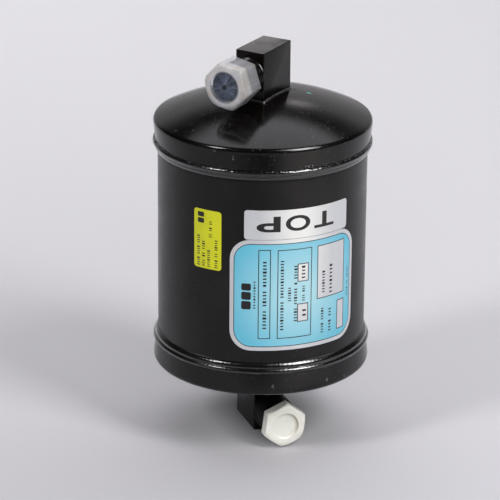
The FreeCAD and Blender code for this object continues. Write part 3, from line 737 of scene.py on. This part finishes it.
def make_block_weld(end, seed):
    """The fillet weld round a block's foot, laid by hand: stacked ripples and uneven legs."""
    path = rounded_path(BLOCK_WIDTH / 2 + WELD_GAP, BLOCK_DEPTH / 2 + WELD_GAP, BLOCK_EDGE, 0.25 * MM)
    ripple = 0.9 * MM
    steps = 9
    verts = []
    run = 0.0
    for i, (spot, out) in enumerate(path):
        run += (spot - path[i - 1][0]).length if i else 0
        lump = 1 + 0.25 * fractal(260 * spot.x, 260 * spot.y, 0, seed)
        lump += 0.05 * math.cos(run / ripple * 2 * math.pi)
        leg = BLOCK_WELD * 0.8 * lump
        for j in range(steps):
            share = j / (steps - 1)
            swell = math.sin(math.pi * share) * 0.12 * leg
            place = spot + out * (leg * share + swell)
            ground = dome_height(place.length, WELD_GAP)
            verts.append((place.x, place.y, ground + leg * (1 - share) + swell))
        verts.append((spot.x, spot.y, dome_height(spot.length, WELD_GAP)))
    ring = steps + 1
    count = len(path)
    faces = []
    for i in range(count):
        nxt = (i + 1) % count
        for j in range(ring):
            k = (j + 1) % ring
            faces.append((i * ring + j, nxt * ring + j, nxt * ring + k, i * ring + k))
    bead = add_piece(f"{end}_block_bead", verts, faces, FOOT_WELD_DUST_AND_HIGHLIGHT, smooth=60)
    finished(moved(bead, ENDS[end]), "can", "weld_paint", f"{end}_block_weld")


# Plastic caps


def make_hex_cap(name, flats, turn, start, finish, bore, recess, material):
    """A moulded hexagonal cap: closed end crowned like a nut, stepped bore."""
    corners = [(flats / math.sqrt(3) * math.cos(turn + math.radians(60 * k)),
                flats / math.sqrt(3) * math.sin(turn + math.radians(60 * k))) for k in range(6)]
    body = prism(name, corners, start, finish, material)

    def weights(a, b):
        at_start = start + 0.1 * MM
        if max(a.z, b.z) < at_start:
            return 0.5
        return float(min(a.z, b.z) < at_start)

    body = bevelled(body, weights, CAP_CORNER, 4)
    centre = (flats / 2 - CAP_CROWN_START, finish - CAP_CROWN)
    crown = arc(centre, CAP_CROWN, CAP_CROWN_END, 90, 14)
    outside = crown[0][0] + 2 * MM
    crown += [(crown[-1][0], finish + MM), (outside, finish + MM), (outside, crown[0][1])]
    cutters = [turned("crown", crown, material, None, 192), capped("bore", bore, None, 128)]
    if recess:
        cutters.append(capped("recess", recess, None, 128))
    return carve(body, cutters, smooth=40)


def make_clear_cap():
    start = THREAD_END - CLEAR_GRIP
    finish = FITTING_END + CAP_FIT + CLEAR_WALL
    wide, slim = THREAD_R + CAP_FIT, NOSE_R + CAP_FIT
    floor = FITTING_END + CAP_FIT
    bore = [(wide + CAP_CORNER, start - MM), (wide + CAP_CORNER, start), (wide, start + CAP_CORNER),
            (wide, THREAD_END + CAP_FIT), (slim, THREAD_END + CAP_FIT), (slim, floor)]
    cap = make_hex_cap("clear_cap_body", CLEAR_FLATS, CLEAR_TURN, start, finish, bore, None, CLEAR)
    finished(moved(cap, UPPER @ FITTING), "clear_cap", "clear_plastic", "clear_shipping_cap")


def make_white_cap():
    start = THREAD_END + WHITE_GAP
    finish = FITTING_END + CAP_FIT + WHITE_WALL
    slim = NOSE_R + CAP_FIT
    floor = FITTING_END + CAP_FIT
    bore = [(slim, start - MM), (slim, floor)]
    depth, radius = WHITE_RECESS_DEPTH, WHITE_RECESS_R
    recess = arc((radius - depth, finish), depth, -90, -12, 8)
    recess += [(radius + 0.05 * MM, finish), (radius + 0.2 * MM, finish + MM)]
    cap = make_hex_cap("white_cap_body", WHITE_FLATS, WHITE_TURN, start, finish, bore, recess, WHITE)
    finished(moved(cap, LOWER @ FITTING), "white_cap", "white_plastic", "white_shipping_cap")


# Labels

LABEL_BACK = SHELL_R + 0.05 * MM
LABEL_FRONT = LABEL_BACK + 0.14 * MM
PRINT_STEP = 0.012 * MM
DATA_CORNER = 10 * MM
LABEL_CORNER = 1.5 * MM


class Label:
    """A label bent round the can. Shapes are drawn flat in (arc, height) and laid on in layers."""

    def __init__(self, name):
        self.name = name
        self.verts = []
        self.faces = []
        self.kinds = []
        self.materials = []

    def lay(self, shape, layer, material):
        """Adds a flat bmesh as one thin layer with its own sides and back."""
        if material not in self.materials:
            self.materials.append(material)
        kind = self.materials.index(material)
        front = LABEL_FRONT + layer * PRINT_STEP
        back = LABEL_BACK if layer == 0 else front - 1.5 * PRINT_STEP
        spans = [v.co.x for v in shape.verts]
        step = 1.2 * MM
        for i in range(math.floor(min(spans) / step), math.ceil(max(spans) / step)):
            everything = shape.verts[:] + shape.edges[:] + shape.faces[:]
            bmesh.ops.bisect_plane(shape, geom=everything, plane_co=(i * step, 0, 0),
                                   plane_no=(1, 0, 0))
        shape.verts.index_update()
        shape.verts.ensure_lookup_table()
        base = len(self.verts)
        count = len(shape.verts)
        for radius in (front, back):
            for vert in shape.verts:
                angle = vert.co.x / SHELL_R
                self.verts.append((radius * math.sin(angle), -radius * math.cos(angle), vert.co.y))
        for face in shape.faces:
            corners = [v.index for v in face.verts]
            if face.normal.z < 0:
                corners.reverse()
            self.faces.append(tuple(base + c for c in corners))
            self.faces.append(tuple(base + count + c for c in reversed(corners)))
            self.kinds += [kind, kind]
            for a, b in zip(corners, corners[1:] + corners[:1]):
                edge = shape.edges.get((shape.verts[a], shape.verts[b]))
                if edge.is_boundary:
                    self.faces.append((base + b, base + a, base + count + a, base + count + b))
                    self.kinds.append(kind)
        shape.free()

    def box(self, left, right, low, high, layer, material, corner=0.0):
        """A box with round corners."""
        corner = min(corner, (right - left) / 2, (high - low) / 2)
        points = []
        for x, y, start in ((right, high, 0), (left, high, 90), (left, low, 180), (right, low, 270)):
            sx = -1 if x == right else 1
            sy = -1 if y == high else 1
            for i in range(9 if corner else 1):
                angle = math.radians(start + 90 * i / 8)
                points.append((x + sx * corner + corner * math.cos(angle),
                               y + sy * corner + corner * math.sin(angle)))
        shape = bmesh.new()
        shape.faces.new([shape.verts.new((x, y, 0)) for x, y in points])
        shape.normal_update()
        shape.verts.ensure_lookup_table()
        self.lay(shape, layer, material)

    def finish(self, slot, node):
        piece = add_piece(self.name, self.verts, self.faces, self.materials[0], 30, outward=False)
        for material in self.materials[1:]:
            piece.data.materials.append(material)
        piece.data.polygons.foreach_set("material_index", self.kinds)
        finished(piece, "can", slot, node)


def arc_length(degrees):
    return math.radians(degrees) * SHELL_R


def edges(left, right, low, high):
    """Edges given in degrees round the can and millimetres up it, as flat lengths."""
    return arc_length(left), arc_length(right), low * MM, high * MM


def framed(label, left, right, low, high, layer, line, fill, width=0.42 * MM, corner=0.0):
    """A box with a thin line round it."""
    label.box(left, right, low, high, layer, line, corner)
    label.box(left + width, right - width, low + width, high - width, layer + 1, fill,
              max(corner - width, 0))


def printed_blue():
    """The label's blue, paler towards its middle."""
    finish = Finish("label_blue", (0.12, 0.49, 0.65), 0.32, Coat_Weight=0.25, Coat_Roughness=0.2)
    ball = finish.node("TexGradient", gradient_type="SPHERICAL")
    mapping = finish.node("Mapping")
    turn = math.radians(20.637)
    middle = Vector((SHELL_R * math.sin(turn), -SHELL_R * math.cos(turn), -11 * MM))
    reach = 34 * MM
    mapping.inputs["Scale"].default_value = (1 / reach,) * 3
    mapping.inputs["Location"].default_value = tuple(-middle / reach)
    finish.link(finish.place, mapping.inputs["Vector"])
    finish.link(mapping.outputs["Vector"], ball.inputs["Vector"])
    finish.blend(finish.ramp(ball.outputs["Fac"], 0.0, 0.8), (0.40, 0.68, 0.76))
    return film_surface(finish, 0.28, 0.4)


def make_data_label(ink, paper):
    """Blue form with a pale border: framed fields, with bars where lines of print would be."""
    label = Label("data_label_print")
    blue = printed_blue()
    left, right, low, high = edges(-17.1, 58.0, -39.7, 16.6)
    label.box(left, right, low, high, 0, paper, DATA_CORNER)
    border = 1.9 * MM
    inside = (left + border, right - border, low + border, high - border)
    framed(label, *inside, 1, ink, blue, 0.38 * MM, 8.4 * MM)
    for field, layer, fill in (((-1.7, 5.0, -33.6, 11.8), 3, blue),
                               ((8.6, 28.0, -33.7, 11.5), 3, blue),
                               ((31.4, 50.5, -15.8, 11.5), 3, paper),
                               ((45.3, 50.8, -34.2, -19.1), 3, paper),
                               ((19.7, 26.1, -25.8, -16.5), 5, paper),
                               ((19.7, 26.1, -5.3, 3.9), 5, paper)):
        framed(label, *edges(*field), layer, ink, fill)
    # Degrees round the can, first and last millimetre, height and the letters in each word
    rows = [
        (-3.6, -18.5, -3.9, 1.0, (10,)),
        (1.8, -28.9, 6.3, 1.9, (6, 5, 8)),
        (11.2, -29.7, 6.5, 1.7, (10, 13)),
        (15.3, -15.1, -7.5, 1.7, (6,)),
        (18.7, -25.7, 3.4, 1.7, (5, 6, 1, 5)),
        (23.2, -15.5, -7.3, 1.5, (3, 3)),
        (23.1, -4.2, 2.9, 1.9, (4,)),
        (23.7, -23.8, -19.0, 2.0, (2,)),
        (35.0, -34.0, -20.5, 1.6, (4, 5)),
        (40.1, -34.1, -21.6, 1.6, (4, 3)),
        (35.5, -13.4, -1.7, 1.7, (8,)),
        (40.5, -14.5, 0.9, 1.7, (8,)),
        (53.6, -18.8, -3.8, 0.9, (4, 2, 5)),
    ]
    lay_rows(label, rows, 7, ink)
    for first, last in ((-18.6, -14.4), (-13.7, -9.7), (-9.0, -5.4)):
        label.box(*edges(-10.7, -5.5, first, last), 3, ink, 0.9 * MM)
    label.finish("data_print", "data_label")


def lay_rows(label, rows, layer, ink):
    """Lines of print that run up the label: a plain bar for each letter, in uneven sizes."""
    for angle, first, last, tall, words in rows:
        middle = arc_length(angle)
        pitch = (last - first) * MM / (sum(words) + len(words) - 1)
        start = first * MM
        number = 0
        for word in words:
            for letter in range(word):
                number += 1
                reach = tall * MM * (0.47 if number % 3 else 0.39)
                thin = pitch * (0.2 if number % 4 else 0.32)
                centre = start + pitch * (letter + 0.5)
                label.box(middle - reach, middle + reach, centre - thin, centre + thin, layer, ink)
            start += pitch * (word + 1)


def make_orientation_label(ink, paper):
    """White strip that says which end is up in use; it is upside down in this pose."""
    label = Label("orientation_label_print")
    label.box(*edges(-9.4, 51.9, 16.8, 31.5), 0, paper, LABEL_CORNER)
    for letter, left, right in (("P", -2.8, 10.0), ("O", 12.8, 26.6), ("T", 29.1, 41.7)):
        lay_letter(label, letter, *edges(left, right, 20.6, 28.4), 1, ink)
    label.finish("orientation_print", "orientation_label")


def lay_letter(label, letter, left, right, low, high, layer, ink):
    """A bold letter stretched over its box and turned half round."""
    glyph = bpy.data.curves.new("letter", "FONT")
    glyph.body = letter
    glyph.offset = 0.023
    carrier = bpy.data.objects.new("letter", glyph)
    SCENE.collection.objects.link(carrier)
    flat = made_plain(carrier, "letter_flat")
    shape = bmesh.new()
    shape.from_mesh(flat.data)
    bpy.data.objects.remove(flat)
    bmesh.ops.remove_doubles(shape, verts=shape.verts, dist=1e-5)
    bmesh.ops.dissolve_limit(shape, angle_limit=0.01, verts=shape.verts, edges=shape.edges)
    points = np.array([v.co for v in shape.verts])
    first, last = points.min(0), points.max(0)
    for vert in shape.verts:
        across = (vert.co.x - first[0]) / (last[0] - first[0])
        up = (vert.co.y - first[1]) / (last[1] - first[1])
        vert.co = (right + (left - right) * across, high + (low - high) * up, 0)
    shape.normal_update()
    label.lay(shape, layer, ink)


def make_test_label(ink):
    """Yellow leak test tag with small bars for its print and a solid field for its code."""
    label = Label("test_label_print")
    yellow = printed_film("label_yellow", (0.66, 0.66, 0.002), 0.38, (0.58, 0.60, 0.002))
    label.box(*edges(-38.9, -22.0, -0.6, 29.0), 0, yellow, LABEL_CORNER)
    rows = [
        (-35.95, 0.2, 15.9, 1.7, (4, 4, 4)),
        (-32.7, 0.2, 13.5, 1.7, (3, 2, 4)),
        (-29.5, 0.2, 9.1, 1.7, (8,)),
        (-28.4, 15.3, 23.9, 1.7, (2, 2, 2)),
        (-25.0, 0.2, 14.8, 1.7, (4, 2, 5)),
    ]
    lay_rows(label, rows, 1, ink)
    for first, last in ((22.1, 24.6), (25.2, 27.6)):
        label.box(*edges(-36.4, -32.4, first, last), 1, ink, 0.6 * MM)
    label.finish("test_print", "test_label")


# Small marks on the paint


def make_spatter(name, places, size, material):
    """Weld spatter: a drop of uneven size on each place, laid by geometry nodes."""
    tree = bpy.data.node_groups.new(name + "_nodes", "GeometryNodeTree")
    tree.interface.new_socket("Geometry", in_out="INPUT", socket_type="NodeSocketGeometry")
    radius = tree.interface.new_socket("Drop radius", in_out="INPUT", socket_type="NodeSocketFloat")
    tree.interface.new_socket("Geometry", in_out="OUTPUT", socket_type="NodeSocketGeometry")
    nodes = {kind: tree.nodes.new(kind) for kind in (
        "NodeGroupInput", "GeometryNodeMeshToPoints", "GeometryNodeMeshIcoSphere",
        "FunctionNodeRandomValue", "GeometryNodeInstanceOnPoints", "GeometryNodeRealizeInstances",
        "GeometryNodeSetMaterial", "NodeGroupOutput")}
    given, points, drop, share, spread, real, paint, result = nodes.values()
    drop.inputs["Subdivisions"].default_value = 2
    share.data_type = "FLOAT"
    share.inputs["Seed"].default_value = 4
    share.inputs[2].default_value = 0.45
    share.inputs[3].default_value = 1.0
    paint.inputs["Material"].default_value = material
    for source, target in ((given.outputs["Geometry"], points.inputs["Mesh"]),
                           (given.outputs["Drop radius"], drop.inputs["Radius"]),
                           (points.outputs["Points"], spread.inputs["Points"]),
                           (drop.outputs["Mesh"], spread.inputs["Instance"]),
                           (share.outputs[1], spread.inputs["Scale"]),
                           (spread.outputs["Instances"], real.inputs["Geometry"]),
                           (real.outputs["Geometry"], paint.inputs["Geometry"]),
                           (paint.outputs["Geometry"], result.inputs["Geometry"])):
        tree.links.new(source, target)
    mesh = bpy.data.meshes.new(name)
    mesh.from_pydata([tuple(place) for place in places], [], [])
    seed = bpy.data.objects.new(name + "_places", mesh)
    SCENE.collection.objects.link(seed)
    modifier = seed.modifiers.new("spatter", "NODES")
    modifier.node_group = tree
    modifier[radius.identifier] = size
    drops = made_plain(seed, name)
    drops.data.shade_smooth()
    finished(drops, "can", "weld_paint")


def scattered(rng, count, centre, reach):
    """Offsets that crowd round a centre."""
    return [centre + rng.normal(0, reach) for _ in range(count)]


def make_all_spatter():
    """Drops round the blocks' feet and along the seams' outer toes, a weld stop and drips."""
    rng = np.random.default_rng(11)
    for end, place in ENDS.items():
        drops = []
        for corner_x, corner_y in ((1, 1), (1, -1), (-1, 1)):
            x = corner_x * (BLOCK_WIDTH / 2 + BLOCK_WELD)
            y = corner_y * (BLOCK_DEPTH / 2 + BLOCK_WELD)
            for dx, dy in zip(scattered(rng, 5, x, 0.9 * MM), scattered(rng, 5, y, 0.9 * MM)):
                inside = abs(dx) < BLOCK_WIDTH / 2 and abs(dy) < BLOCK_DEPTH / 2
                if not inside:
                    drops.append(place @ Vector((dx, dy, dome_height(math.hypot(dx, dy)))))
        make_spatter(f"{end}_block_spatter", drops, 0.38 * MM, FOOT_WELD_DUST_AND_HIGHLIGHT)
        drops = []
        for angle in scattered(rng, 9, math.radians(SPATTER_TURN[end]), math.radians(9)):
            drops.append(on_skirt(end, angle, SEAM_HIGH + abs(rng.normal(0.2, 0.7)) * MM))
        make_spatter(f"{end}_seam_spatter", drops, 0.42 * MM, WELD_PAINT)
    stop = ((22.6, 52.2), (23.2, 52.9), (24.0, 52.2), (24.6, 53.0), (26.4, 52.4))
    drips = ((-15.4, 57.6), (-15.0, 58.1), (-15.2, 56.6), (-25.5, 60.3), (-25.2, 59.6))
    for name, places, sink, size in (("upper_weld_stop", stop, 0.0, 0.95 * MM),
                                     ("upper_paint_drips", drips, 0.1 * MM, 0.55 * MM)):
        places = [on_skirt("upper", math.radians(angle), height * MM, sink)
                  for angle, height in places]
        make_spatter(name, places, size, WELD_PAINT)


def make_paint_dot():
    """A dab of inspection paint on the upper dome, seen at this pixel of the photograph."""
    pixel = (309, 93)
    spot = on_dome(pixel)
    finish = Finish("inspection_paint", (0.05, 0.42, 0.36), 0.4)
    finish.blend(finish.ramp(finish.noise(0.8 * MM, 2), 0.4, 0.7), (0.10, 0.55, 0.46))
    finish.bump(finish.noise(0.5 * MM, 3), 0.03 * MM)
    rings, sides = 6, 28
    verts = []
    for i in range(rings + 1):
        share = i / rings
        for j in range(sides):
            angle = 2 * math.pi * j / sides
            reach = 0.9 * MM * share * (1 + 0.15 * math.cos(3 * angle) + 0.1 * math.sin(5 * angle))
            x = spot.x + 1.25 * reach * math.cos(angle)
            y = spot.y + reach * math.sin(angle)
            lift = 0.02 * MM + 0.09 * MM * (1 - share ** 2)
            verts.append((x, y, dome_height(math.hypot(x, y), lift)))
    faces = []
    for low in range(0, rings * sides, sides):
        for j in range(sides):
            k = (j + 1) % sides
            faces.append((low + j, low + k, low + sides + k, low + sides + j))
    faces.append(tuple(range(rings * sides, (rings + 1) * sides)))
    dot = add_piece("inspection_dot", verts, faces, finish.material, 50)
    finished(dot, "can", "cap_paint")


def on_dome(pixel):
    """Where the camera's ray through a pixel meets the upper dome."""
    ray = CAMERA_TURN @ Vector(((pixel[0] - IMAGE / 2) / FOCAL, (IMAGE / 2 - pixel[1]) / FOCAL, -1))
    ray.normalize()
    way = CAMERA_PLACE - Vector((0, 0, DOME_Z))
    along = -way.dot(ray) - math.sqrt(way.dot(ray) ** 2 - way.length_squared + DOME_R ** 2)
    return CAMERA_PLACE + ray * along


# Pieces inside the can keep their solids and get their finishes here


def dress_inside():
    plate = bare_steel("plate_steel", (0.60, 0.59, 0.57), 0.35)
    spring = bare_steel("spring_wire", (0.36, 0.35, 0.35), 0.3)
    screen = bare_steel("screen_steel", (0.66, 0.66, 0.64), 0.28, (1, 1, 6))
    pad = felt()
    bed = beads()
    dressed = {"inlet_plate": plate, "spring_plate": plate, "bed_spring": spring,
               "outlet_screen": screen, "inlet_pad": pad, "outlet_pad": pad, "drying_bed": bed}
    for name, material in dressed.items():
        mesh = frame["nodes"][name].data
        mesh.materials.clear()
        mesh.materials.append(material)


# Camera, floor and light

IMAGE = 500
FOCAL = 2866.07
SENSOR = 36.0
CAMERA_PLACE = Vector((0, -1314.311, 490.434)) * MM
CAMERA_RIGHT = Vector((0.99994294, 0.00728786, 0.0078101))
CAMERA_UP = Vector((-0.00988558, 0.35426881, 0.93509138))
CAMERA_AHEAD = Vector((-0.00404794, 0.93511523, -0.35432064))
CAMERA_TURN = Matrix((CAMERA_RIGHT, CAMERA_UP, -CAMERA_AHEAD)).transposed()


def make_camera():
    data = bpy.data.cameras.new("camera")
    data.sensor_width = SENSOR
    data.lens = FOCAL / IMAGE * SENSOR
    data.clip_start = 0.05
    data.clip_end = 50
    camera = bpy.data.objects.new("camera", data)
    camera.matrix_world = Matrix.Translation(CAMERA_PLACE) @ CAMERA_TURN.to_4x4()
    SCENE.collection.objects.link(camera)
    SCENE.camera = camera


def floor_paper():
    """Paper, with painted light: paler to the back and the right, where more light falls.

    Beyond the foot of the camera's view it has painted light and shade that only mirrored rays see:
    painted shade in front, a painted pool of light and a painted shadow patch.
    """
    finish = Finish("floor_paper", (0.435, 0.425, 0.45), 0.9, Specular_IOR_Level=0.1)
    x, y, _ = finish.axes()
    # Painted light: the paper's colour grows paler to the back and to the right, standing in for how
    # the lamps fall.
    finish.blend(finish.ramp(y, -0.1, 0.9), (0.98, 0.965, 0.985))
    finish.blend(finish.ramp(x, -0.25, 0.35, 0.0, 0.5), (0.66, 0.65, 0.68))
    # Seen only in reflections: painted shade on the floor in front of the part.
    unseen = finish.ramp(finish.node("LightPath").outputs["Is Camera Ray"], 1, 0)
    finish.blend(finish.both("MULTIPLY", finish.ramp(y, -0.2, -0.7), unseen), (0.30, 0.29, 0.30))
    # A painted pool of light to the front right, where the key lamp lights the floor, and a painted
    # shadow patch in front.
    pale = ((0.27, -0.26), (1, 1, 1), (0.22, 0.05), (0.98, 0.94, 0.90))
    painted_shadow_patch = ((-0.02, -0.305), (0.8, 1.5, 1), (0.13, 0.04), (0.09, 0.09, 0.09))
    for middle, weights, reach, color in (pale, painted_shadow_patch):
        away = finish.distance(Vector((*middle, -BLOCK_TOP)), weights=weights)
        finish.blend(finish.both("MULTIPLY", finish.ramp(away, *reach), unseen), color)
    return finish.material


def make_floor():
    low = -BLOCK_TOP - 0.2 * MM
    size = 6.0
    mesh = bpy.data.meshes.new("floor")
    corners = ((-size, -size), (size, -size), (size, size), (-size, size))
    mesh.from_pydata([(x, y, low) for x, y in corners], [], [(0, 1, 2, 3)])
    mesh.materials.append(floor_paper())
    floor = bpy.data.objects.new("floor", mesh)
    SCENE.collection.objects.link(floor)


def add_light(name, azimuth, elevation, distance, size, power, mirrored="also"):
    """A soft box that faces the part. Azimuth 0 is in front, 90 on the right.

    mirrored says where it shows: in everything, in reflections only or in no reflection.
    """
    a, e = math.radians(azimuth), math.radians(elevation)
    way = Vector((math.sin(a) * math.cos(e), -math.cos(a) * math.cos(e), math.sin(e)))
    data = bpy.data.lights.new(name, "AREA")
    data.shape = "RECTANGLE"
    data.size, data.size_y = size
    data.energy = power
    light = bpy.data.objects.new(name, data)
    light.visible_glossy = mirrored != "never"
    light.visible_diffuse = mirrored != "only"
    light.location = way * distance
    light.rotation_mode = "QUATERNION"
    light.rotation_quaternion = (-way).to_track_quat("-Z", "Y")
    SCENE.collection.objects.link(light)


def make_world():
    """Pale all round for the camera; else a dim room with a backdrop, a window and a lit ceiling."""
    world = bpy.data.worlds.new("studio")
    SCENE.world = world
    world.use_nodes = True
    world.node_tree.nodes.clear()
    sky = Nodes(world.node_tree, "Generated")
    _, y, z = sky.axes()
    backdrop = sky.both("MULTIPLY", sky.ramp(z, 0.62, 0.42), sky.ramp(y, 0.55, 0.85))
    on_back_wall = sky.vector("DIVIDE", sky.place, sky.vector("SCALE", Vector((1, 1, 1)), y))
    window = sky.ramp(sky.distance(Vector((0.145, 1, 0.55)), on_back_wall), 0.08, 0.03)
    window = sky.both("MULTIPLY", window, sky.ramp(y, 0, 0.1))
    overhead = sky.vector("DIVIDE", sky.place, sky.vector("SCALE", Vector((1, 1, 1)), z))
    behind = sky.ramp(sky.vector("DOT_PRODUCT", overhead, Vector((0, 1, 0))), 0.08, 0.3)
    ceiling = sky.ramp(sky.distance(Vector((0.05, 0.3, 1)), overhead), 0.80, 0.53)
    ceiling = sky.both("MULTIPLY", ceiling, behind, sky.ramp(z, 0.05, 0.1))
    room = sky.mix(backdrop, (0.035, 0.034, 0.036), (0.50, 0.485, 0.50))
    room = sky.mix(window, room, (2.2, 2.15, 2.1))
    room = sky.mix(ceiling, room, (1.85, 1.85, 1.95))
    seen = sky.mix(sky.node("LightPath").outputs["Is Camera Ray"], room, (0.76, 0.75, 0.785))
    back = sky.node("Background")
    sky.link(seen, back.inputs["Color"])
    sky.link(back.outputs["Background"], sky.node("OutputWorld").inputs["Surface"])


make_camera()
make_floor()
make_world()
add_light("key_right", 48, 42, 1.5, (0.42, 0.8), 14.5)
add_light("fill_left", -54, 40, 1.6, (0.3, 0.5), 10)
add_light("key_glint", 48, 42, 1.45, (0.7, 0.95), 22, mirrored="only")
add_light("ceiling", 165, 70, 1.7, (1.8, 1.8), 9.5, mirrored="never")
add_light("front_fill", 8, 22, 1.9, (1.2, 0.8), 10, mirrored="never")

make_can()
for number, side in enumerate(ENDS):
    make_dome_cap(side)
    make_seam_weld(side, number)
    make_port_block(side)
    make_block_weld(side, number)
    make_fitting(side)
    make_braze(side, number)
make_clear_cap()
make_white_cap()
INK = printed_film("label_ink", (0.008, 0.007, 0.007), 0.45, coat=0.0)
PAPER = label_paper()
make_data_label(INK, PAPER)
make_orientation_label(INK, PAPER)
make_test_label(INK)
make_paint_dot()
make_all_spatter()
dress_inside()

SCENE.view_settings.view_transform = "Standard"
